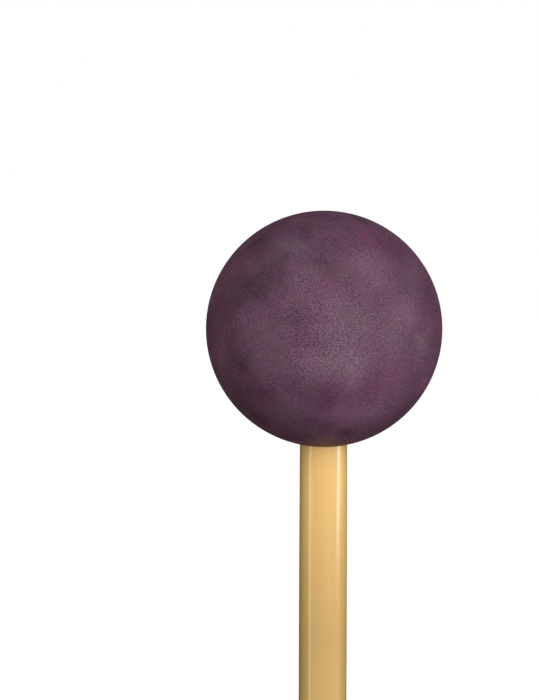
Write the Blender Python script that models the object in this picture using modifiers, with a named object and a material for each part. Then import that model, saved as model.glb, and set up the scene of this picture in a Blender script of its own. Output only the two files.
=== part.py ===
"""Marimba mallet: a solid rubber ball glued on a straight rattan handle.

Metres, +Z up. The handle runs along Z with the head on top. The origin is the middle
of the grip, on the handle's axis, where the player's fingers close round it.
"""

import math

import bpy

# Head: a ball of solid rubber, 1 1/2 inches across, drilled from below to take the handle.
HEAD_DIAMETER = 0.0381
CROWN_WALL = 0.0072  # rubber left between the drill's point and the top of the ball
DRILL_POINT_ANGLE = math.radians(118)
MOUTH_ROUND = 0.0004  # soft edge where the bore leaves the ball

# Handle: a rattan cane of 5/16 inch nominal. It is sanded a little thinner over a short neck
# under the ball, to fit its bore, and thins slowly from its middle to the butt.
HANDLE_SHOWN_LENGTH = 0.356  # from the butt end to the underside of the ball
HANDLE_MIDDLE_DIAMETER = 0.0079375
HANDLE_HEAD_DIAMETER = 0.0077
HANDLE_BUTT_DIAMETER = 0.0077
NECK_LENGTH = 0.050
HEAD_END_CHAMFER = 0.0008
BUTT_FLAT_DIAMETER = 0.0044  # flat left in the middle of the rounded butt end
BUTT_ROUND_HEIGHT = 0.0018

# Glue: the cured film that fills the bore round the handle and over its end.
GLUE_FILM = 0.0003
GLUE_RECESS = 0.0010  # the film stops this far inside the mouth of the bore
SEAT_GAP = 0.0003  # clearance kept between pieces that touch

# Grip: the hand's place, measured up from the butt end.
GRIP_FROM_BUTT = 0.120

# Facets: how finely the round shapes are divided.
ROUND_STEPS = 64
UPPER_BALL_STEPS = 18  # from the top pole to the equator
LOWER_BALL_STEPS = 15  # from the equator to the mouth
MOUTH_ARC_STEPS = 4
BUTT_ARC_STEPS = 6
NECK_STEPS = 6
LOWER_BARREL_STEPS = 6  # from the middle of the handle to the butt
AXIS_MERGE = 0.000001

# Sizes worked out from those above.
HEAD_RADIUS = HEAD_DIAMETER / 2
HANDLE_HEAD_RADIUS = HANDLE_HEAD_DIAMETER / 2
BORE_RADIUS = HANDLE_HEAD_RADIUS + SEAT_GAP + GLUE_FILM + SEAT_GAP
DRILL_HALF_ANGLE = DRILL_POINT_ANGLE / 2

# Heights along the axis, all from the grip's middle.
BUTT_HEIGHT = -GRIP_FROM_BUTT
HEAD_CENTRE_HEIGHT = BUTT_HEIGHT + HANDLE_SHOWN_LENGTH + HEAD_RADIUS
BORE_POINT_HEIGHT = HEAD_CENTRE_HEIGHT + HEAD_RADIUS - CROWN_WALL
BORE_SHOULDER_HEIGHT = BORE_POINT_HEIGHT - BORE_RADIUS / math.tan(DRILL_HALF_ANGLE)
MOUTH_HEIGHT = HEAD_CENTRE_HEIGHT - math.sqrt(HEAD_RADIUS**2 - BORE_RADIUS**2)
GLUE_OUTER_RADIUS = BORE_RADIUS - SEAT_GAP
GLUE_POINT_HEIGHT = BORE_POINT_HEIGHT - SEAT_GAP / math.sin(DRILL_HALF_ANGLE)
GLUE_SHOULDER_HEIGHT = GLUE_POINT_HEIGHT - GLUE_OUTER_RADIUS / math.tan(DRILL_HALF_ANGLE)
HANDLE_TOP_HEIGHT = GLUE_SHOULDER_HEIGHT - GLUE_FILM - SEAT_GAP


def clear_scene():
    """Removes what the file opens with."""
    for old in list(bpy.data.objects):
        bpy.data.objects.remove(old)


def linear_colour(hex_code):
    """The linear RGBA of an sRGB hex colour."""
    channels = [int(hex_code[i : i + 2], 16) / 255 for i in (1, 3, 5)]
    linear = [c / 12.92 if c <= 0.04045 else ((c + 0.055) / 1.055) ** 2.4 for c in channels]
    return (*linear, 1.0)


def plain_material(name, hex_code, roughness):
    """A non-metal of one colour."""
    material = bpy.data.materials.new(name)
    material.use_nodes = True
    shader = material.node_tree.nodes["Principled BSDF"]
    shader.inputs["Base Color"].default_value = linear_colour(hex_code)
    shader.inputs["Roughness"].default_value = roughness
    shader.inputs["Metallic"].default_value = 0.0
    return material


def arc(centre, radii, start, end, steps):
    """(radius, height) points round an ellipse. Angles run from straight out, up being positive."""
    angles = [start + (end - start) * i / steps for i in range(steps + 1)]
    return [
        (centre[0] + radii[0] * math.cos(a), centre[1] + radii[1] * math.sin(a)) for a in angles
    ]


def turned_piece(name, profile, base_height, material, collection, parent):
    """One closed solid turned about Z.

    The profile's points are (radius, height) from the grip's middle. They run from the
    top of the piece down its outer side. The object's own origin is at base_height.
    """
    mesh = bpy.data.meshes.new(name)
    points = [(radius, 0.0, height - base_height) for radius, height in profile]
    mesh.from_pydata(points, [(i, i + 1) for i in range(len(points) - 1)], [])
    mesh.materials.append(material)
    piece = bpy.data.objects.new(name, mesh)
    piece.location = (0.0, 0.0, base_height)
    piece.parent = parent
    collection.objects.link(piece)
    turning = piece.modifiers.new("Turned about the axis", "SCREW")
    turning.axis = "Z"
    turning.angle = 2 * math.pi
    turning.steps = ROUND_STEPS
    turning.render_steps = ROUND_STEPS
    turning.use_merge_vertices = True
    turning.merge_threshold = AXIS_MERGE
    turning.use_smooth_shade = True
    return piece


def head_profile():
    """The ball from its top pole down to the mouth, over the soft edge and up the drilled bore."""
    top_pole = (0.0, HEAD_CENTRE_HEIGHT + HEAD_RADIUS)
    round_centre_radius = BORE_RADIUS + MOUTH_ROUND
    round_drop = math.sqrt((HEAD_RADIUS - MOUTH_ROUND) ** 2 - round_centre_radius**2)
    mouth_angle = math.atan2(-round_drop, round_centre_radius)
    centre = (0.0, HEAD_CENTRE_HEIGHT)
    radii = (HEAD_RADIUS, HEAD_RADIUS)
    upper_half = arc(centre, radii, math.pi / 2, 0.0, UPPER_BALL_STEPS)
    lower_half = arc(centre, radii, 0.0, mouth_angle, LOWER_BALL_STEPS)
    mouth = arc(
        (round_centre_radius, HEAD_CENTRE_HEIGHT - round_drop),
        (MOUTH_ROUND, MOUTH_ROUND),
        mouth_angle,
        -math.pi,
        MOUTH_ARC_STEPS,
    )
    bore = [(BORE_RADIUS, BORE_SHOULDER_HEIGHT), (0.0, BORE_POINT_HEIGHT)]
    return [top_pole] + upper_half[1:] + lower_half[1:] + mouth[1:] + bore


def thinned(start_height, end_height, end_radius, steps):
    """(radius, height) points from the handle's full radius to a thinner end, ever faster."""
    full_radius = HANDLE_MIDDLE_DIAMETER / 2
    shares = [i / steps for i in range(steps + 1)]
    return [
        (
            full_radius - (full_radius - end_radius) * share**2,
            start_height + (end_height - start_height) * share,
        )
        for share in shares
    ]


def handle_profile():
    """The handle from its chamfered head end, down the neck and barrel, to the rounded butt."""
    butt_radius = HANDLE_BUTT_DIAMETER / 2
    flat_radius = BUTT_FLAT_DIAMETER / 2
    top = [
        (0.0, HANDLE_TOP_HEIGHT),
        (HANDLE_HEAD_RADIUS - HEAD_END_CHAMFER, HANDLE_TOP_HEIGHT),
        (HANDLE_HEAD_RADIUS, HANDLE_TOP_HEIGHT - HEAD_END_CHAMFER),
    ]
    barrel_bottom = BUTT_HEIGHT + BUTT_ROUND_HEIGHT
    neck_start = MOUTH_HEIGHT - NECK_LENGTH
    middle = (MOUTH_HEIGHT + barrel_bottom) / 2
    neck = thinned(neck_start, MOUTH_HEIGHT, HANDLE_HEAD_RADIUS, NECK_STEPS)
    lower_barrel = thinned(middle, barrel_bottom, butt_radius, LOWER_BARREL_STEPS)
    butt = arc(
        (flat_radius, barrel_bottom),
        (butt_radius - flat_radius, BUTT_ROUND_HEIGHT),
        0.0,
        -math.pi / 2,
        BUTT_ARC_STEPS,
    )
    return top + neck[::-1] + lower_barrel[:-1] + butt + [(0.0, BUTT_HEIGHT)]


def glue_profile():
    """A cup of glue: up its drill-shaped top, down the bore's side, then up round the handle's end."""
    inner_radius = HANDLE_HEAD_RADIUS + SEAT_GAP
    over_chamfer = SEAT_GAP * (math.sqrt(2) - 1)
    rim_height = MOUTH_HEIGHT + GLUE_RECESS
    return [
        (0.0, GLUE_POINT_HEIGHT),
        (GLUE_OUTER_RADIUS, GLUE_SHOULDER_HEIGHT),
        (GLUE_OUTER_RADIUS, rim_height),
        (inner_radius, rim_height),
        (inner_radius, HANDLE_TOP_HEIGHT - HEAD_END_CHAMFER + over_chamfer),
        (HANDLE_HEAD_RADIUS - HEAD_END_CHAMFER + over_chamfer, HANDLE_TOP_HEIGHT + SEAT_GAP),
        (0.0, HANDLE_TOP_HEIGHT + SEAT_GAP),
    ]


def build_mallet():
    """Makes the three pieces and hangs them on one empty at the middle of the grip."""
    clear_scene()
    collection = bpy.data.collections.new("Marimba mallet")
    bpy.context.scene.collection.children.link(collection)
    grip_middle = bpy.data.objects.new("grip_middle", None)
    collection.objects.link(grip_middle)

    rubber = plain_material("Purple rubber", "#6A4C5F", 0.7)
    rattan = plain_material("Lacquered rattan", "#DDB272", 0.35)
    glue = plain_material("Cured glue", "#D8C79A", 0.4)

    turned_piece("head", head_profile(), HEAD_CENTRE_HEIGHT, rubber, collection, grip_middle)
    turned_piece("handle", handle_profile(), BUTT_HEIGHT, rattan, collection, grip_middle)
    turned_piece("glue_film", glue_profile(), HANDLE_TOP_HEIGHT, glue, collection, grip_middle)


build_mallet()
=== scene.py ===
"""Looks of a marimba mallet: a ground rubber ball glued on a lacquered rattan cane.

Metres, +Z up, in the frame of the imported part: the handle stands along Z with its butt end
down, and the origin is the middle of the grip. Runs in Blender 4.5.
"""

import math

import bmesh
import bpy
from mathutils import Matrix, Vector, noise


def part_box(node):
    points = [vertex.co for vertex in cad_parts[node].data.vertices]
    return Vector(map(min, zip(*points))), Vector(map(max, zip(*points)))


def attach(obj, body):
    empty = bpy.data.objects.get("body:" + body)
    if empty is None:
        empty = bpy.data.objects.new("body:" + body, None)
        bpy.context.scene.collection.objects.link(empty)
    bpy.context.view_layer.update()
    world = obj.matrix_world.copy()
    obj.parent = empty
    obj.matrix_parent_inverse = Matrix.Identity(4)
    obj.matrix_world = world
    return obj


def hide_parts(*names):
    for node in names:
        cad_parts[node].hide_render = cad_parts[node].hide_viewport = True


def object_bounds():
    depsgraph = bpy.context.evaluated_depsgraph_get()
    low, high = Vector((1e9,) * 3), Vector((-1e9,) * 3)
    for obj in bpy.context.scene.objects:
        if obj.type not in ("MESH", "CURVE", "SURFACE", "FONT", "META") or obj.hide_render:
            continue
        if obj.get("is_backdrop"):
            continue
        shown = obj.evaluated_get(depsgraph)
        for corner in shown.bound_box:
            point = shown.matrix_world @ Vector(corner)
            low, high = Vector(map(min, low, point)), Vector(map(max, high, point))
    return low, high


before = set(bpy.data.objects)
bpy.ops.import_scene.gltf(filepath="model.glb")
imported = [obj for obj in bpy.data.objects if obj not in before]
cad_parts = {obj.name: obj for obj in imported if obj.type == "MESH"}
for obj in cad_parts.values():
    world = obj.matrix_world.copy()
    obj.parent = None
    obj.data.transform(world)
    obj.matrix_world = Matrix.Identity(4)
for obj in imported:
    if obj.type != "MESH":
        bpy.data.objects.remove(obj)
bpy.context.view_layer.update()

# Handle
# A straight cane of rattan, solid and full of fine long fibres, peeled and sanded round, a little
# thinner over a neck under the ball. It was sprayed with clear lacquer while whole, and its butt
# end was rounded on a belt afterwards, which left bare end grain with open pores.

MM = 0.001
GLUE_THICKNESS = 0.3 * MM
SEAT_GAP = 0.3 * MM  # what the solids keep between the glue and its neighbours
handle_low, handle_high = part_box("handle")
_, glue_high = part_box("glue_film")
BUTT_HEIGHT = handle_low.z
HANDLE_TOP = handle_high.z
MIDDLE_RADIUS = handle_high.x
BORE_RADIUS = glue_high.x + SEAT_GAP
END_RADIUS = glue_high.x - GLUE_THICKNESS - SEAT_GAP
BUTT_FLAT_RADIUS = 2.2 * MM
BUTT_ROUND_HEIGHT = 1.8 * MM
NECK_LENGTH = 50 * MM  # sanded thinner under the ball
HEAD_END_CHAMFER = 0.8 * MM
WELD_DISTANCE = 0.001 * MM
HANDLE_STEPS = 128  # facets round the handle
BARREL_RING_SPACING = 1.5 * MM
BUTT_ROUND_RINGS = 14
BUTT_FLAT_RINGS = 12

head_low, head_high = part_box("head")
HEAD_RADIUS = (head_high.x - head_low.x) / 2
HEAD_CENTRE = head_high.z - HEAD_RADIUS
BARREL_TOP = HEAD_CENTRE - math.sqrt(HEAD_RADIUS**2 - BORE_RADIUS**2)
BARREL_BOTTOM = BUTT_HEIGHT + BUTT_ROUND_HEIGHT

JOINT_HEIGHT = 75 * MM  # a joint of the cane, sanded almost flush
JOINT_SWELL = 0.07 * MM
JOINT_WIDTH = 1.1 * MM
SANDING_WAVE = 0.008 * MM  # how far the sanded side strays from round
SANDING_WAVE_LENGTH = 14 * MM
ARRIS = 0.01 * MM  # the last of the lacquered side, where the butt's pores stop

PORE_SPACING = 0.42 * MM
PORE_RADIUS = 0.13 * MM
PORE_DEPTH = 0.08 * MM


def linear(hex_code):
    """The linear RGBA of an sRGB hex colour."""
    channels = [int(hex_code[i : i + 2], 16) / 255 for i in (1, 3, 5)]
    return (*[c / 12.92 if c <= 0.04045 else ((c + 0.055) / 1.055) ** 2.4 for c in channels], 1.0)


def add_node(tree, kind, inputs=None, output=0, **settings):
    """Adds a node and gives one of its outputs. An input is a value or another node's output.

    Sockets go by name, or by number where names repeat: a colour Mix node takes its factor as
    0 and its colours as 6 and 7, and gives its result as 2.
    """
    node = tree.nodes.new(kind)
    for setting, value in settings.items():
        setattr(node, setting, value)
    for socket, value in (inputs or {}).items():
        if isinstance(value, bpy.types.NodeSocket):
            tree.links.new(value, node.inputs[socket])
        else:
            node.inputs[socket].default_value = value
    return node.outputs[output]


def new_material(name):
    """A material with its node tree and Principled shader."""
    material = bpy.data.materials.new(name)
    material.use_nodes = True
    return material, material.node_tree, material.node_tree.nodes["Principled BSDF"]


def arc(centre, radii, start, end, steps):
    """(radius, height) points round an ellipse. Angles run from straight out, up being positive."""
    angles = [start + (end - start) * i / steps for i in range(steps + 1)]
    return [
        (centre[0] + radii[0] * math.cos(a), centre[1] + radii[1] * math.sin(a)) for a in angles
    ]


def spun(profile, steps):
    """A bmesh turned about Z from (radius, height) points that run down its outer side."""
    bm = bmesh.new()
    line = [bm.verts.new((radius, 0, height)) for radius, height in profile]
    edges = [bm.edges.new(pair) for pair in zip(line, line[1:])]
    bmesh.ops.spin(
        bm,
        geom=line + edges,
        cent=(0, 0, 0),
        axis=(0, 0, 1),
        angle=math.tau,
        steps=steps,
        use_merge=True,
    )
    bmesh.ops.remove_doubles(bm, verts=bm.verts, dist=WELD_DISTANCE)
    bmesh.ops.recalc_face_normals(bm, faces=bm.faces)
    return bm


def finished(bm, name, materials):
    """The bmesh as a smooth-shaded object at the origin."""
    for face in bm.faces:
        face.smooth = True
    mesh = bpy.data.meshes.new(name)
    bm.to_mesh(mesh)
    bm.free()
    for material in materials:
        mesh.materials.append(material)
    piece = bpy.data.objects.new(name, mesh)
    bpy.context.scene.collection.objects.link(piece)
    return piece


def barrel_radius(height):
    """The handle's radius at a height: full in the middle, thinner at the neck and the butt."""
    middle = (BARREL_TOP + BARREL_BOTTOM) / 2
    up_the_neck = (height - BARREL_TOP) / NECK_LENGTH + 1
    down_to_butt = (middle - height) / (middle - BARREL_BOTTOM)
    share = max(0.0, min(1.0, max(up_the_neck, down_to_butt)))
    return MIDDLE_RADIUS - (MIDDLE_RADIUS - END_RADIUS) * share**2


top_ring = HANDLE_TOP - HEAD_END_CHAMFER
ring_count = round((top_ring - BARREL_BOTTOM) / BARREL_RING_SPACING)
ring_heights = [
    top_ring - (top_ring - BARREL_BOTTOM) * i / ring_count for i in range(ring_count)
]
handle_profile = [(0.0, HANDLE_TOP), (END_RADIUS - HEAD_END_CHAMFER, HANDLE_TOP)]
handle_profile += [(barrel_radius(height), height) for height in ring_heights]
handle_profile += arc(
    (BUTT_FLAT_RADIUS, BARREL_BOTTOM),
    (END_RADIUS - BUTT_FLAT_RADIUS, BUTT_ROUND_HEIGHT),
    0.0,
    -math.pi / 2,
    BUTT_ROUND_RINGS,
)
handle_profile += [
    (BUTT_FLAT_RADIUS * (1 - i / BUTT_FLAT_RINGS), BUTT_HEIGHT)
    for i in range(1, BUTT_FLAT_RINGS + 1)
]
handle_mesh = spun(handle_profile, HANDLE_STEPS)

# The rounded butt is bare wood behind a crisp edge of lacquer, and finer, to hold its pores.
rounded_faces = [
    face for face in handle_mesh.faces if face.calc_center_median().z < BARREL_BOTTOM
]
for face in rounded_faces:
    face.material_index = 1
lacquer_edge = [
    edge
    for edge in handle_mesh.edges
    if {face.material_index for face in edge.link_faces} == {0, 1}
]
for edge in lacquer_edge:
    edge.smooth = False
rounded_edges = {edge for face in rounded_faces for edge in face.edges} - set(lacquer_edge)
bmesh.ops.subdivide_edges(handle_mesh, edges=list(rounded_edges), cuts=1, use_grid_fill=True)

# Pores sink into the butt. Up the side, sanding cut waves inwards, and the joint swells out.
pore_layer = handle_mesh.verts.layers.float.new("pore")
for vert in handle_mesh.verts:
    place = vert.co
    outward = Vector((place.x, place.y, 0.0))
    if place.z < BARREL_BOTTOM and outward.length < END_RADIUS - ARRIS:
        nearest = noise.voronoi(place / PORE_SPACING)[0][0] * PORE_SPACING
        pore = max(0.0, 1 - nearest / PORE_RADIUS) ** 0.5
        vert[pore_layer] = pore
        vert.co = place + vert.normal * -PORE_DEPTH * pore
    elif outward.length > MIDDLE_RADIUS / 2 and place.z > BARREL_BOTTOM:
        direction = outward.normalized()
        swell = JOINT_SWELL * math.exp(-(((place.z - JOINT_HEIGHT) / JOINT_WIDTH) ** 2))
        wave = noise.noise(Vector((direction.x, direction.y, place.z / SANDING_WAVE_LENGTH)))
        vert.co = place + direction * (swell + SANDING_WAVE * (wave - 1) / 2)

# Rattan under clear lacquer: honey gold, paler at the butt where it was sanded, painted paler up
# the neck as painted light that grows towards the ball, with fibres as faint stripes along the cane,
# short darker dashes where sap vessels were cut open, a thin dark scar round the joint, and a smooth
# glossy coat over a soft, fibrous ground.
FIBRE_WIDTH = 0.45 * MM
FIBRE_LENGTH = 30 * MM
FIBRE_SHARE = 0.17  # how much of the fibres' colour shows at most
FIBRE_RELIEF = 0.006 * MM
VESSEL_WIDTH = 0.16 * MM
VESSEL_LENGTH = 5 * MM
VESSEL_SHARE = 0.15  # and of the vessels'
TONE_WIDTH = 9 * MM
TONE_LENGTH = 28 * MM
DARKEST_TONE = 0.94
LIGHTEST_TONE = 1.02
SCAR_WIDTH = 0.8 * MM  # the dark line left round the joint, where a leaf sheath grew
SCAR_WANDER = 1.6 * MM
SCAR_LOBE = 4 * MM
SCAR_DARKNESS = 0.45
PALE_NECK = 32 * MM  # how far from its ends the cane is paler: up the neck as painted light, at the butt where it was sanded through
PALE_BUTT = 70 * MM

rattan, tree, shader = new_material("Lacquered rattan")
place = add_node(tree, "ShaderNodeTexCoord", output="Object")
height = add_node(tree, "ShaderNodeSeparateXYZ", {"Vector": place}, output="Z")


def along_cane(width, length, detail, low, high, least, most):
    """Noise drawn out along the cane, whose low to high becomes least to most."""
    stretched = add_node(
        tree, "ShaderNodeMapping", {"Vector": place, "Scale": (1 / width, 1 / width, 1 / length)}
    )
    texture = add_node(
        tree, "ShaderNodeTexNoise", {"Vector": stretched, "Scale": 1.0, "Detail": detail}
    )
    return add_node(
        tree,
        "ShaderNodeMapRange",
        {"Value": texture, "From Min": low, "From Max": high, "To Min": least, "To Max": most},
    )


# Paler up the neck: painted light, stronger towards the ball. Paler at the butt, where it was sanded.
up_neck = add_node(
    tree,
    "ShaderNodeMapRange",
    {"Value": height, "From Min": BARREL_TOP - PALE_NECK, "From Max": BARREL_TOP - PALE_NECK / 4},
)
down_butt = add_node(
    tree,
    "ShaderNodeMapRange",
    {"Value": height, "From Min": BUTT_HEIGHT + PALE_BUTT, "From Max": BUTT_HEIGHT},
)
lit_neck_and_sanded_butt = add_node(tree, "ShaderNodeMath", {0: up_neck, 1: down_butt}, operation="MAXIMUM")
fibre = along_cane(
    FIBRE_WIDTH, FIBRE_LENGTH, detail=3.0, low=0.38, high=0.62, least=0.0, most=FIBRE_SHARE
)
vessel = along_cane(
    VESSEL_WIDTH, VESSEL_LENGTH, detail=1.0, low=0.66, high=0.8, least=0.0, most=VESSEL_SHARE
)

wander = along_cane(
    SCAR_LOBE, TONE_LENGTH, detail=2.0, low=0.0, high=1.0, least=-SCAR_WANDER, most=SCAR_WANDER
)
off_joint = add_node(tree, "ShaderNodeMath", {0: height, 1: wander}, operation="ADD")
off_joint = add_node(tree, "ShaderNodeMath", {0: off_joint, 1: JOINT_HEIGHT}, operation="SUBTRACT")
off_joint = add_node(tree, "ShaderNodeMath", {0: off_joint}, operation="ABSOLUTE")
scar = add_node(
    tree,
    "ShaderNodeMapRange",
    {"Value": off_joint, "From Min": SCAR_WIDTH, "From Max": 0.0, "To Max": SCAR_DARKNESS},
)

rattan_colour = linear("#DBB365")
for share, hex_code in (
    (lit_neck_and_sanded_butt, "#F9D07D"),
    (fibre, "#DAA75D"),
    (vessel, "#B08245"),
    (scar, "#A8763C"),
):
    rattan_colour = add_node(
        tree,
        "ShaderNodeMix",
        {0: share, 6: rattan_colour, 7: linear(hex_code)},
        output=2,
        data_type="RGBA",
    )
tone = along_cane(
    TONE_WIDTH, TONE_LENGTH, detail=2.0, low=0.35, high=0.65, least=DARKEST_TONE, most=LIGHTEST_TONE
)
rattan_colour = add_node(
    tree, "ShaderNodeVectorMath", {0: rattan_colour, "Scale": tone}, operation="SCALE"
)
fibre_bump = add_node(
    tree, "ShaderNodeBump", {"Strength": 0.2, "Distance": FIBRE_RELIEF, "Height": fibre}
)
tree.links.new(rattan_colour, shader.inputs["Base Color"])
tree.links.new(fibre_bump, shader.inputs["Normal"])
shader.inputs["Roughness"].default_value = 0.5
shader.inputs["Diffuse Roughness"].default_value = 0.55
shader.inputs["IOR"].default_value = 1.5
shader.inputs["Coat Weight"].default_value = 1.0
shader.inputs["Coat Roughness"].default_value = 0.09
shader.inputs["Coat IOR"].default_value = 1.5

# Bare rattan end grain, cut by a sanding belt: cream ground tissue, dry and matt, with open
# vessels as small tan pits.
GROUND_TISSUE = 0.22 * MM  # drawn coarser than its cells, which would not show
end_grain, tree, shader = new_material("Bare rattan end grain")
place = add_node(tree, "ShaderNodeTexCoord", output="Object")
tissue = add_node(
    tree, "ShaderNodeTexNoise", {"Vector": place, "Scale": 1 / GROUND_TISSUE, "Detail": 2.0}
)
tissue = add_node(tree, "ShaderNodeMapRange", {"Value": tissue, "From Min": 0.35, "From Max": 0.65})
pore = add_node(tree, "ShaderNodeAttribute", output="Fac", attribute_name="pore")
end_colour = linear("#E8CB98")
for share, hex_code in ((tissue, "#F8E7C2"), (pore, "#C2965F")):
    end_colour = add_node(
        tree,
        "ShaderNodeMix",
        {0: share, 6: end_colour, 7: linear(hex_code)},
        output=2,
        data_type="RGBA",
    )
tree.links.new(end_colour, shader.inputs["Base Color"])
shader.inputs["Roughness"].default_value = 0.85
shader.inputs["IOR"].default_value = 1.5

handle = finished(handle_mesh, "rattan_handle", [rattan, end_grain])
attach(handle, "root")
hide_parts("handle")

# Glue
# The cured film of amber glue that fills the bore round the handle's end. It is the packed
# part's own solid, sealed inside the head, so only its material is set here.

# Amber glue, set hard: slightly cloudy where small bubbles stayed in it, and smooth.
BUBBLE_CLOUD = 2 * MM
glue, tree, shader = new_material("Cured amber glue")
place = add_node(tree, "ShaderNodeTexCoord", output="Object")
clouded = add_node(
    tree, "ShaderNodeTexNoise", {"Vector": place, "Scale": 1 / BUBBLE_CLOUD, "Detail": 3.0}
)
glue_colour = add_node(
    tree,
    "ShaderNodeMix",
    {0: clouded, 6: linear("#C9A765"), 7: linear("#E6D3A3")},
    output=2,
    data_type="RGBA",
)
tree.links.new(glue_colour, shader.inputs["Base Color"])
shader.inputs["Roughness"].default_value = 0.35
shader.inputs["IOR"].default_value = 1.48
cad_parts["glue_film"].data.materials.clear()
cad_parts["glue_film"].data.materials.append(glue)

# Head
# A ball of solid rubber, moulded in purple with grey-green clouds and then ground round, which
# leaves a matt, finely pitted skin. It is drilled from below, and the rubber closes tightly on
# the handle at the mouth of the hole.

MOUTH_GAP = 0.06 * MM  # a hair's breadth, so that the lip doesn't cut into the handle
MOUTH_RADIUS = END_RADIUS + MOUTH_GAP
MOUTH_ROUND = 0.35 * MM
LIP_DEPTH = 0.6 * MM  # above it the bore is wider, to hold the glue
DRILL_HALF_ANGLE = math.radians(59)
BALL_STEPS = 256  # facets round the ball
BALL_ARC_RINGS = 120
MOUTH_RINGS = 8
SKIN_DEPTH = 0.15 * MM  # points this near the ball's full radius are its skin, the rest its bore
GRIND_LOWEST = -0.96  # the ground skin ends this far down, in radii below the ball's middle
GRIND_WAVE = 0.012 * MM  # how far the ground skin strays from round
GRIND_WAVE_LENGTH = 3.2 * MM

mouth_centre = MOUTH_RADIUS + MOUTH_ROUND
mouth_drop = math.sqrt((HEAD_RADIUS - MOUTH_ROUND) ** 2 - mouth_centre**2)
mouth_angle = math.atan2(-mouth_drop, mouth_centre)
lip_height = HEAD_CENTRE - mouth_drop + LIP_DEPTH
bore_point = glue_high.z + SEAT_GAP / math.sin(DRILL_HALF_ANGLE)
head_profile = [(0.0, HEAD_CENTRE + HEAD_RADIUS)]
head_profile += arc(
    (0.0, HEAD_CENTRE), (HEAD_RADIUS, HEAD_RADIUS), math.pi / 2, mouth_angle, BALL_ARC_RINGS
)[1:]
head_profile += arc(
    (mouth_centre, HEAD_CENTRE - mouth_drop),
    (MOUTH_ROUND, MOUTH_ROUND),
    mouth_angle,
    -math.pi,
    MOUTH_RINGS,
)[1:]
head_profile += [
    (MOUTH_RADIUS, lip_height),
    (BORE_RADIUS, lip_height),
    (BORE_RADIUS, bore_point - BORE_RADIUS / math.tan(DRILL_HALF_ANGLE)),
    (0.0, bore_point),
]
head_mesh = spun(head_profile, BALL_STEPS)
centre = Vector((0.0, 0.0, HEAD_CENTRE))

# Grinding left the ball a little uneven: waves cut inwards over its skin, clear of the mouth.
for vert in head_mesh.verts:
    outward = vert.co - centre
    if outward.length > HEAD_RADIUS - SKIN_DEPTH and outward.normalized().z > GRIND_LOWEST:
        wave = noise.noise(outward / GRIND_WAVE_LENGTH)
        vert.co += outward.normalized() * GRIND_WAVE * (wave - 1) / 2

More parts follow.
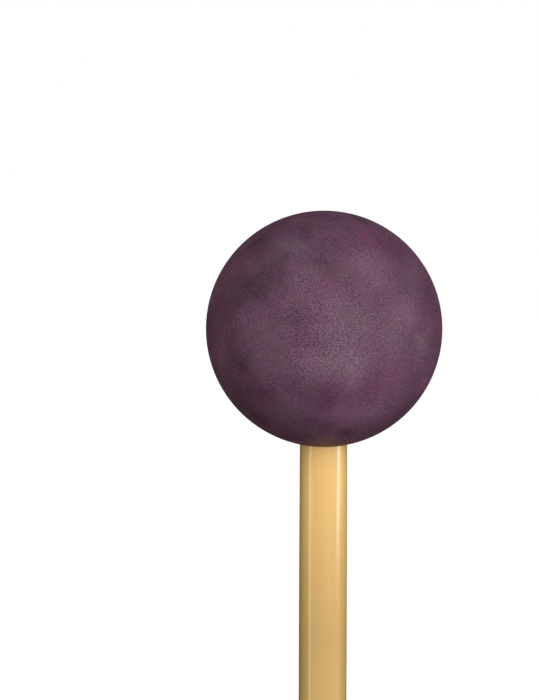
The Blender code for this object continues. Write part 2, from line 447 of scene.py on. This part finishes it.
# Clouds in the rubber on the side that faces the camera, set against measured differences between
# render and photograph: mm to the right and up from the ball's middle as the camera sees it, reach
# in mm, how much lighter, and how much more purple.
# Most rows are clouds in the rubber; a few, marked where they stand, are painted light and painted
# shade.
CLOUDS_AND_PAINTED_LIGHT = (
    (-12.5, 6.0, 5.5, -0.32, -0.04),
    (-10.0, 4.5, 3.0, -0.14, 0.0),
    (-14.5, 9.5, 3.0, 0.3, 0.0),
    (-8.0, 8.0, 5.5, -0.26, -0.06),
    (-10.5, 13.5, 3.5, -0.38, -0.04),
    (-12.0, 10.0, 3.0, 0.2, 0.0),
    (-5.5, 13.0, 4.0, 0.18, -0.16),
    (-7.5, 11.5, 4.0, 0.0, -0.12),
    (-3.5, 8.5, 3.5, 0.22, -0.06),
    (-3.5, 14.5, 3.0, -0.14, -0.04),
    (-5.0, 17.0, 3.0, 0.28, 0.0),
    (1.5, 17.5, 3.0, -0.18, 0.0),
    (5.5, 17.5, 3.0, -0.18, 0.0),
    (0.5, 13.0, 3.0, -0.16, -0.04),
    (-1.0, 9.5, 4.0, -0.26, -0.08),
    (3.0, 8.0, 3.5, -0.12, -0.06),
    (9.0, 4.5, 4.0, 0.02, -0.08),
    (7.0, 9.0, 5.5, 0.36, -0.08),
    (6.5, 14.0, 5.0, 0.0, 0.22),
    (11.0, 12.5, 4.5, -0.32, 0.06),
    (12.0, 6.5, 3.0, -0.12, -0.12),
    (12.0, 2.5, 4.5, 0.28, -0.08),
    (16.0, 5.5, 4.0, -0.2, 0.0),
    (15.0, -2.0, 3.0, 0.36, -0.14),
    (18.0, 0.0, 4.0, 0.0, 0.22),
    (0.5, 6.5, 3.5, -0.02, 0.12),
    (0.0, 3.5, 3.0, 0.12, -0.04),
    (5.5, 1.0, 4.0, 0.06, -0.1),
    (10.0, -0.5, 4.5, 0.16, -0.1),
    (-12.0, 0.5, 5.0, 0.16, -0.04),
    (-15.5, 2.0, 3.0, -0.1, 0.0),
    # Painted light: these two lighten the lower left rim, as light falling on it from the lower left.
    (-16.5, -3.5, 4.0, 0.34, -0.1),
    (-16.0, -7.0, 3.5, 0.22, 0.0),
    (-4.5, 1.0, 5.0, -0.28, 0.0),
    (-5.5, 4.5, 2.5, 0.1, 0.0),
    (-2.5, 2.0, 3.5, 0.0, 0.08),
    (-3.0, -2.5, 4.0, -0.1, 0.12),
    (-10.0, -5.0, 4.5, 0.14, -0.08),
    (-1.5, -5.0, 4.0, 0.3, -0.04),
    (3.5, -6.0, 5.0, 0.4, -0.08),
    (-12.5, -5.5, 3.5, -0.28, 0.06),
    (-15.5, -9.5, 3.0, 0.08, 0.0),
    (-9.5, -10.0, 4.0, -0.22, 0.06),
    (-12.5, -9.5, 3.0, -0.1, 0.0),
    (-12.5, -12.0, 4.0, -0.12, 0.0),
    (-4.5, -9.0, 3.0, -0.24, 0.0),
    (0.0, -10.5, 4.5, -0.3, 0.08),
    (6.0, -10.0, 4.0, 0.0, 0.12),
    (10.0, -7.5, 4.5, 0.08, 0.08),
    (14.5, -5.5, 4.5, 0.1, 0.08),
    (15.5, -8.5, 3.0, 0.46, 0.08),
    (10.5, -4.5, 3.0, 0.12, 0.0),
    (-6.0, -12.5, 4.5, 0.0, -0.1),
    (-1.5, -14.5, 3.5, -0.2, 0.1),
    (-6.5, -15.5, 3.0, -0.06, 0.04),
    (-10.5, -14.0, 3.0, -0.34, 0.06),
    (4.0, -13.5, 4.0, 0.2, 0.0),
    (7.5, -12.5, 4.0, 0.26, -0.04),
    (12.0, -13.0, 3.0, -0.16, 0.04),
    # Painted shade: these two darken the underside on each side of the handle, under the ball.
    (-4.0, -17.0, 3.0, -0.28, 0.0),
    (3.0, -16.5, 3.0, -0.36, 0.0),
)

# Purple rubber, ground after moulding: matt and without gleam, finely pitted, in soft clouds of
# grey-green and purple where the colours were kneaded together. The front that faces the camera
# is painted paler and greyer, as a painted broad sheen with dust on it, and warm bounce light from
# the handle is painted round the mouth.
GRAIN_WIDTH = 0.16 * MM  # the coarsest of the pits, as finer ones would not show
GRAIN_RELIEF = 0.02 * MM
GRAIN_CONTRAST = 2.0
GRAIN_MIDDLE = 0.265  # the squared grain where pits end and peaks begin
DUST_WIDTH = 3 * MM
DUST_SEED = 9.0
DUST_BLUE = 0.054  # how much bluer the dust is, and how much less blue the bare rubber
SHADE_WIDTH = 5 * MM  # random clouds, lighter or darker and more or less purple by these shares
SHADE_SPREAD = 0.27
HUE_WIDTH = 6 * MM
HUE_SPREAD = 0.14
FRONT_SHARE = 0.25  # what the side that faces the camera keeps of them
RAGGED_WIDTH = 3.5 * MM
CLOUD_WANDER = 5 * MM  # how far the clouds' edges are broken up
VIEW_ANGLE = math.radians(6.3)  # how steeply the camera looks down on the ball
SHEEN_AND_DUST_REACH = 12 * MM  # painted broad sheen with pale dust, on the front that faces the camera
SHEEN_AND_DUST_GRAIN = 0.3  # how much clearer the grain is in it
SHEEN_AND_DUST_SHADE = 0.16
SHEEN_AND_DUST_PURPLE = -0.1
FULL_PURPLE = (0.6, -0.8, 0.2)  # what it adds to the rubber's red, green and blue
BOUNCE_RING_REACH = 6.5 * MM  # painted warm bounce light from the handle, round the mouth
BOUNCE_RING_SHARE = 0.4
HANDLE_GLOW_REACH = 6 * MM  # and a painted glow of the handle's light on the front of it
HANDLE_GLOW_SHARE = 0.6
HANDLE_GLOW_ANGLE = math.radians(20)  # from straight down

rubber, tree, shader = new_material("Ground purple rubber")
place = add_node(tree, "ShaderNodeTexCoord", output="Object")
from_centre = add_node(
    tree, "ShaderNodeMapping", {"Vector": place, "Location": (0.0, 0.0, -HEAD_CENTRE)}
)


def kneaded(width, seed, least, most):
    """Clouds through the rubber of about a width, from least to most."""
    texture = add_node(
        tree,
        "ShaderNodeTexNoise",
        {"Vector": from_centre, "W": seed, "Scale": 1 / width, "Detail": 2.0},
        noise_dimensions="4D",
    )
    return add_node(
        tree,
        "ShaderNodeMapRange",
        {"Value": texture, "From Min": 0.32, "From Max": 0.68, "To Min": least, "To Max": most},
    )


def patch(position, middle, reach, core=0.0):
    """1 within the core of a round patch on the rubber, fading out at its reach."""
    distance = add_node(
        tree, "ShaderNodeVectorMath", {0: position, 1: middle}, output="Value", operation="DISTANCE"
    )
    return add_node(
        tree,
        "ShaderNodeMapRange",
        {"Value": distance, "From Min": reach, "From Max": core},
        interpolation_type="SMOOTHSTEP",
    )


def on_front(across, up):
    """The point of the ball that the camera sees so many mm across and up from its middle."""
    out = math.sqrt(HEAD_RADIUS**2 - (across * MM) ** 2 - (up * MM) ** 2)
    return Matrix.Rotation(-VIEW_ANGLE, 3, "X") @ Vector((across * MM, -out, up * MM))


# The grain: dark pits and pale peaks, clearest where the rubber is dusty and in the painted sheen.
grain = add_node(
    tree, "ShaderNodeTexNoise", {"Vector": from_centre, "Scale": 1 / GRAIN_WIDTH, "Detail": 1.0}
)
# Painted broad sheen with dust: the front that faces the camera is made paler and greyer, with
# clearer grain.
sheen_and_dust = patch(from_centre, on_front(0.0, 0.0), SHEEN_AND_DUST_REACH)
dusty = kneaded(DUST_WIDTH, DUST_SEED, 0.4, 1.05)
dusty = add_node(
    tree, "ShaderNodeMath", {0: sheen_and_dust, 1: SHEEN_AND_DUST_GRAIN, 2: dusty}, operation="MULTIPLY_ADD"
)
peaks = add_node(tree, "ShaderNodeMath", {0: grain, 1: 2.0}, operation="POWER")
peaks = add_node(
    tree,
    "ShaderNodeMath",
    {0: peaks, 1: GRAIN_CONTRAST, 2: -GRAIN_CONTRAST * GRAIN_MIDDLE},
    operation="MULTIPLY_ADD",
)
specks = add_node(tree, "ShaderNodeMath", {0: peaks, 1: dusty, 2: 0.5}, operation="MULTIPLY_ADD")
rubber_colour = add_node(
    tree,
    "ShaderNodeMix",
    {0: specks, 6: linear("#462139"), 7: linear("#8B687E")},
    output=2,
    data_type="RGBA",
)

# The clouds: random ones at full strength round the back, and the placed ones in front, which start
# with the painted sheen and hold a few patches of painted light and shade.
towards_back = add_node(tree, "ShaderNodeSeparateXYZ", {"Vector": from_centre}, output="Y")
turned_away = add_node(
    tree,
    "ShaderNodeMapRange",
    {"Value": towards_back, "From Min": -HEAD_RADIUS / 2, "From Max": 0.0, "To Min": FRONT_SHARE},
)
shade = kneaded(SHADE_WIDTH, 4.0, -SHADE_SPREAD, SHADE_SPREAD)
shade = add_node(
    tree, "ShaderNodeMath", {0: shade, 1: turned_away, 2: 1.0}, operation="MULTIPLY_ADD"
)
purple = kneaded(HUE_WIDTH, 0.0, -HUE_SPREAD, HUE_SPREAD)
purple = add_node(tree, "ShaderNodeMath", {0: purple, 1: turned_away}, operation="MULTIPLY")
ragged = add_node(
    tree,
    "ShaderNodeTexNoise",
    {"Vector": from_centre, "Scale": 1 / RAGGED_WIDTH, "Detail": 3.0},
    output="Color",
)
ragged = add_node(
    tree, "ShaderNodeVectorMath", {0: ragged, 1: (0.5, 0.5, 0.5)}, operation="SUBTRACT"
)
wandering = add_node(
    tree,
    "ShaderNodeVectorMath",
    {0: ragged, 1: (CLOUD_WANDER, CLOUD_WANDER, CLOUD_WANDER), 2: from_centre},
    operation="MULTIPLY_ADD",
)
placed = [(sheen_and_dust, SHEEN_AND_DUST_SHADE, SHEEN_AND_DUST_PURPLE)]
for across, up, reach, lighter, more_purple in CLOUDS_AND_PAINTED_LIGHT:
    placed.append((patch(wandering, on_front(across, up), reach * MM), lighter, more_purple))
for cloud, lighter, more_purple in placed:
    shade = add_node(
        tree, "ShaderNodeMath", {0: cloud, 1: lighter, 2: shade}, operation="MULTIPLY_ADD"
    )
    purple = add_node(
        tree, "ShaderNodeMath", {0: cloud, 1: more_purple, 2: purple}, operation="MULTIPLY_ADD"
    )

# Purple rubber holds more red and less green than grey-green rubber of the same lightness, and both
# are bluer where they are dusty.
blue = kneaded(DUST_WIDTH, DUST_SEED, 1 - DUST_BLUE, 1 + DUST_BLUE)
neutral = add_node(tree, "ShaderNodeCombineXYZ", {"X": 1.0, "Y": 1.0, "Z": blue})
tint = add_node(
    tree,
    "ShaderNodeVectorMath",
    {0: purple, 1: FULL_PURPLE, 2: neutral},
    operation="MULTIPLY_ADD",
)
rubber_colour = add_node(
    tree, "ShaderNodeVectorMath", {0: rubber_colour, 1: tint}, operation="MULTIPLY"
)
rubber_colour = add_node(
    tree, "ShaderNodeVectorMath", {0: rubber_colour, "Scale": shade}, operation="SCALE"
)

# Painted bounce light from the handle: warm amber round the mouth, and a glow on the front of it.
ring = patch(from_centre, (0.0, 0.0, BARREL_TOP - HEAD_CENTRE), BOUNCE_RING_REACH, BORE_RADIUS)
handle_glow_place = HEAD_RADIUS * Vector((0.0, -math.sin(HANDLE_GLOW_ANGLE), -math.cos(HANDLE_GLOW_ANGLE)))
handle_glow = patch(wandering, handle_glow_place, HANDLE_GLOW_REACH)
painted_bounce = add_node(tree, "ShaderNodeMath", {0: ring, 1: BOUNCE_RING_SHARE}, operation="MULTIPLY")
painted_bounce = add_node(
    tree, "ShaderNodeMath", {0: handle_glow, 1: HANDLE_GLOW_SHARE, 2: painted_bounce}, operation="MULTIPLY_ADD"
)
rubber_colour = add_node(
    tree,
    "ShaderNodeMix",
    {0: painted_bounce, 6: rubber_colour, 7: linear("#9E7860")},
    output=2,
    data_type="RGBA",
)
grain_bump = add_node(
    tree, "ShaderNodeBump", {"Strength": 0.5, "Distance": GRAIN_RELIEF, "Height": grain}
)
tree.links.new(rubber_colour, shader.inputs["Base Color"])
tree.links.new(grain_bump, shader.inputs["Normal"])
shader.inputs["Roughness"].default_value = 0.9
shader.inputs["IOR"].default_value = 1.5
shader.inputs["Specular IOR Level"].default_value = 0.02

head = finished(head_mesh, "rubber_head", [rubber])
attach(head, "root")
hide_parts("head")

# Studio
# A white floor and surround, a large soft light right of the camera, two behind for the rims and a
# faint gold one low on the left. A tall strip on the left and a wider one on the right, which fades
# at its foot, draw the streaks on the lacquer, and cards seen only in it keep its edges dark.

IMAGE_WIDTH = 540
IMAGE_HEIGHT = 700
SENSOR = 36.0  # millimetres, as is the lens
LENS = 90.0
PIXEL_FOCAL = LENS / SENSOR * IMAGE_HEIGHT
CAMERA_PITCH = math.radians(7.0)
CAMERA_DISTANCE = 282.5 * MM
HEAD_ACROSS = 323.9  # pixel of the ball's centre in the photograph
HEAD_DOWN = 328.9

camera_data = bpy.data.cameras.new("camera")
camera_data.sensor_width = SENSOR
camera_data.lens = LENS
camera_data.clip_start = 0.01
camera = bpy.data.objects.new("camera", camera_data)
bpy.context.scene.collection.objects.link(camera)
camera_turn = Matrix.Rotation(math.pi / 2 - CAMERA_PITCH, 3, "X")
to_head = Vector(
    (
        (HEAD_ACROSS - IMAGE_WIDTH / 2) / PIXEL_FOCAL,
        (IMAGE_HEIGHT / 2 - HEAD_DOWN) / PIXEL_FOCAL,
        -1.0,
    )
)
camera.rotation_euler = camera_turn.to_euler()
camera.location = centre - camera_turn @ (to_head * CAMERA_DISTANCE)
bpy.context.scene.camera = camera


def seen_by(tree, *kinds):
    """1 for rays of any of these kinds, and 0 for the rest."""
    rays = add_node(tree, "ShaderNodeLightPath").node.outputs
    seen = rays[kinds[0]]
    for kind in kinds[1:]:
        seen = add_node(tree, "ShaderNodeMath", {0: seen, 1: rays[kind]}, operation="MAXIMUM")
    return seen


WORLD_FILL = 0.07  # the share of the surround's white that lights the mallet
scene_world = bpy.data.worlds.new("White surround")
bpy.context.scene.world = scene_world
scene_world.use_nodes = True
tree = scene_world.node_tree
seen = seen_by(tree, "Is Camera Ray", "Is Glossy Ray", "Is Transmission Ray")
surround = add_node(tree, "ShaderNodeMapRange", {"Value": seen, "To Min": WORLD_FILL})
tree.links.new(surround, tree.nodes["Background"].inputs["Strength"])
tree.nodes["Background"].inputs["Color"].default_value = linear("#FFFFFF")

# Matt paint: mid grey to the lamps, so that it throws little light up, but white to the eye,
# with a soft shadow round the mallet's foot. From below it is clear.
FLOOR_SIZE = 30.0
SHADOW_REACH = 0.25  # how far from the foot the floor's own shadow shows in full
SHADOW_END = 0.9
FOOT_GLOW = 0.85
FLOOR_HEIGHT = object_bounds()[0].z  # the mallet's lowest point
floor_material, tree, shader = new_material("Matt white floor")
shader.inputs["Base Color"].default_value = linear("#767676")
shader.inputs["Roughness"].default_value = 0.9
shader.inputs["Specular IOR Level"].default_value = 0.0
shader.inputs["Emission Color"].default_value = linear("#FFFFFF")
place = add_node(tree, "ShaderNodeTexCoord", output="Object")
away = add_node(
    tree,
    "ShaderNodeVectorMath",
    {0: place, 1: (0.0, 0.0, FLOOR_HEIGHT)},
    output="Value",
    operation="DISTANCE",
)
glow = add_node(
    tree,
    "ShaderNodeMapRange",
    {"Value": away, "From Min": SHADOW_REACH, "From Max": SHADOW_END, "To Min": FOOT_GLOW},
)
seen = seen_by(tree, "Is Camera Ray", "Is Glossy Ray")
glow = add_node(tree, "ShaderNodeMath", {0: glow, 1: seen}, operation="MULTIPLY")
tree.links.new(glow, shader.inputs["Emission Strength"])
clear = add_node(tree, "ShaderNodeBsdfTransparent")
behind = add_node(tree, "ShaderNodeNewGeometry", output="Backfacing")
one_sided = add_node(tree, "ShaderNodeMixShader", {0: behind, 1: shader.outputs[0], 2: clear})
tree.links.new(one_sided, tree.nodes["Material Output"].inputs["Surface"])

floor_mesh = bmesh.new()
bmesh.ops.create_grid(floor_mesh, x_segments=1, y_segments=1, size=FLOOR_SIZE / 2)
bmesh.ops.translate(floor_mesh, verts=floor_mesh.verts, vec=(0.0, 0.0, FLOOR_HEIGHT))
floor = finished(floor_mesh, "floor", [floor_material])
floor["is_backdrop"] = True


def towards(azimuth, elevation, distance):
    """A point at a distance from the ball. Azimuth 0 is on the camera's side, and 90 to its right."""
    turn, rise = math.radians(azimuth), math.radians(elevation)
    return centre + distance * Vector(
        (
            math.sin(turn) * math.cos(rise),
            -math.cos(turn) * math.cos(rise),
            math.sin(rise),
        )
    )


def area_light(name, place, aim, size, power):
    """A rectangular soft light of a width and height in metres, facing a point."""
    data = bpy.data.lights.new(name, "AREA")
    data.shape = "RECTANGLE"
    data.size, data.size_y = size
    data.energy = power
    light = bpy.data.objects.new(name, data)
    light.location = place
    light.rotation_euler = (aim - place).to_track_quat("-Z", "Y").to_euler()
    light.visible_camera = False
    bpy.context.scene.collection.objects.link(light)
    return light


LIGHT_DISTANCE = 0.9
LIGHTS = (  # name, azimuth, elevation, width and height, watts, colour
    ("main_light", 15, 16, (0.7, 0.9), 8.95, "#FFFFFF"),
    ("left_back_light", -141, 8, (0.6, 0.5), 3.0, "#FFFFFF"),
    ("right_back_light", 150, 8, (0.5, 0.5), 2.5, "#FFFFFF"),
    ("left_warm_light", -125, -15, (0.3, 0.1), 0.8, "#FFCE7A"),
)
for name, azimuth, elevation, size, power, hex_code in LIGHTS:
    light = area_light(name, towards(azimuth, elevation, LIGHT_DISTANCE), centre, size, power)
    light.data.color = linear(hex_code)[:3]
    light.visible_glossy = False

STRIP_DISTANCE = 0.5
STRIPS = (  # name, azimuth, lowest and highest point above the origin, width, watts
    ("left_strip", -67.5, 0.0, 0.40, 0.09, 0.24),
    ("right_strip", 76.5, 0.135, 0.40, 0.15, 0.6),
    ("right_strip_edge", 91, 0.139, 0.40, 0.1, 0.14),
    ("right_strip_edge_foot", 88.5, 0.125, 0.139, 0.05, 0.0045),
    ("right_strip_foot", 75, 0.118, 0.135, 0.15, 0.04),
    ("right_strip_fade_1", 73, 0.108, 0.118, 0.15, 0.014),
    ("right_strip_fade_2", 71.5, 0.098, 0.108, 0.15, 0.008),
    ("right_strip_fade_3", 70, 0.088, 0.098, 0.15, 0.003),
)
for name, azimuth, low, high, width, power in STRIPS:
    side = towards(azimuth, 0, STRIP_DISTANCE)
    place = Vector((side.x, side.y, (low + high) / 2))
    aim = Vector((0.0, 0.0, (low + high) / 2))
    strip = area_light(name, place, aim, (width, high - low), power)
    strip.visible_diffuse = False

CARD_RADIUS = 0.7
CARD_FOOT = -0.3
CARD_TOP = 1.0
CARD_STEPS = 24
CARDS = (("left_card", -171, -75), ("right_card", 88, 171))  # name, first and last azimuth
card_material, tree, shader = new_material("Black studio card")
shader.inputs["Base Color"].default_value = linear("#191919")
shader.inputs["Roughness"].default_value = 1.0
for name, first, last in CARDS:
    card_mesh = bmesh.new()
    foot = towards(first, 0, CARD_RADIUS)
    ends = [card_mesh.verts.new((foot.x, foot.y, z)) for z in (CARD_FOOT, CARD_TOP)]
    edge = card_mesh.edges.new(ends)
    bmesh.ops.spin(
        card_mesh,
        geom=ends + [edge],
        cent=(0, 0, 0),
        axis=(0, 0, 1),
        angle=math.radians(last - first),
        steps=CARD_STEPS,
    )
    card = finished(card_mesh, name, [card_material])
    card.visible_camera = False
    card.visible_diffuse = False
    card.visible_shadow = False
    card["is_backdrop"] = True

bpy.context.scene.view_settings.view_transform = "Standard"

low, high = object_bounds()
